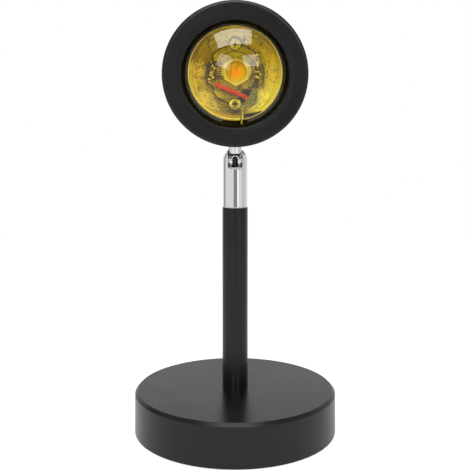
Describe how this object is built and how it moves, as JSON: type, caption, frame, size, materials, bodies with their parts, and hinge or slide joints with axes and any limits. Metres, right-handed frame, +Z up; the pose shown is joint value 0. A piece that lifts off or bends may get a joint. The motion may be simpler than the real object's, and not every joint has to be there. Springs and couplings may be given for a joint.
{
  "type": "sunset projection lamp",
  "caption": "Table lamp that projects a warm disc of light: weighted round base, tube pole, slotted ball joint that swivels, and a round head with a thick amber lens.",
  "frame": {"origin": "on the table, under the pole's axis, at the centre of the round base", "axes": "+Z up along the pole, the lens faces -Y, +X is to the right seen from the front"},
  "size_m": [0.11, 0.111, 0.2365],
  "materials": {
    "satin_black_paint": "satin",
    "polished_chrome": "polished",
    "cast_iron": "rough",
    "zinc_steel": "satin",
    "black_rubber": "matte",
    "black_plastic": "matte",
    "white_nylon": "matte",
    "brass": "satin",
    "amber_glass": "polished",
    "bright_aluminium": "polished",
    "cast_aluminium": "satin",
    "thermal_grey": "matte",
    "white_solder_mask": "gloss",
    "green_board": "gloss",
    "emitter_cream": "matte",
    "phosphor_yellow": "matte",
    "clear_silicone": "polished",
    "solder": "gloss",
    "red_insulation": "satin",
    "black_insulation": "satin",
    "component_black": "matte"
  },
  "bodies": {
    "base": {"base_shell": "satin_black_paint", "base_weight": "cast_iron", "bottom_plate": "satin_black_paint", "bottom_screws": "zinc_steel", "foot_pad": "black_rubber", "cable_grommet": "black_rubber", "cable_clamp": "black_plastic", "clamp_screws": "zinc_steel", "pole_tube": "satin_black_paint", "pole_plug": "zinc_steel", "pole_nipple": "zinc_steel", "pole_washer": "zinc_steel", "pole_nut": "zinc_steel", "pole_cable": "black_insulation", "swivel_bush": "brass", "thrust_washer": "white_nylon"},
    "swivel": {"swivel_spindle": "zinc_steel", "swivel_washer": "zinc_steel", "swivel_nut": "zinc_steel", "disc_springs": "zinc_steel", "ball_seat": "white_nylon", "swivel_sleeve": "polished_chrome"},
    "head": {"tilt_ball": "polished_chrome", "neck_washer": "zinc_steel", "neck_nut": "zinc_steel", "head_housing": "satin_black_paint", "front_bezel": "satin_black_paint", "rear_cap": "satin_black_paint", "rear_cap_screws": "zinc_steel", "lens": "amber_glass", "lens_gasket": "black_rubber", "light_baffle": "black_plastic", "reflector_cup": "bright_aluminium", "heat_sink": "cast_aluminium", "thermal_pad": "thermal_grey", "lead_grommet": "black_rubber", "led_board": "white_solder_mask", "board_washers": "black_plastic", "board_screws": "zinc_steel", "emitter_base": "emitter_cream", "phosphor": "phosphor_yellow", "emitter_dome": "clear_silicone", "solder_joints": "solder", "lead_red": "red_insulation", "lead_black": "black_insulation", "driver_board": "green_board", "driver_screws": "zinc_steel", "driver_parts": "component_black", "head_cable": "black_insulation"}
  },
  "joints": [
    {"name": "swivel_turn", "type": "hinge", "parent": "base", "child": "swivel", "pos_m": [0, 0, 0.122], "axis": [0, 0, 1], "range_deg": [-180, 180]},
    {"name": "head_tilt", "type": "hinge", "parent": "swivel", "child": "head", "pos_m": [0, 0, 0.1482], "axis": [1, 0, 0], "range_deg": [-6.8, 83.2]}
  ]
}
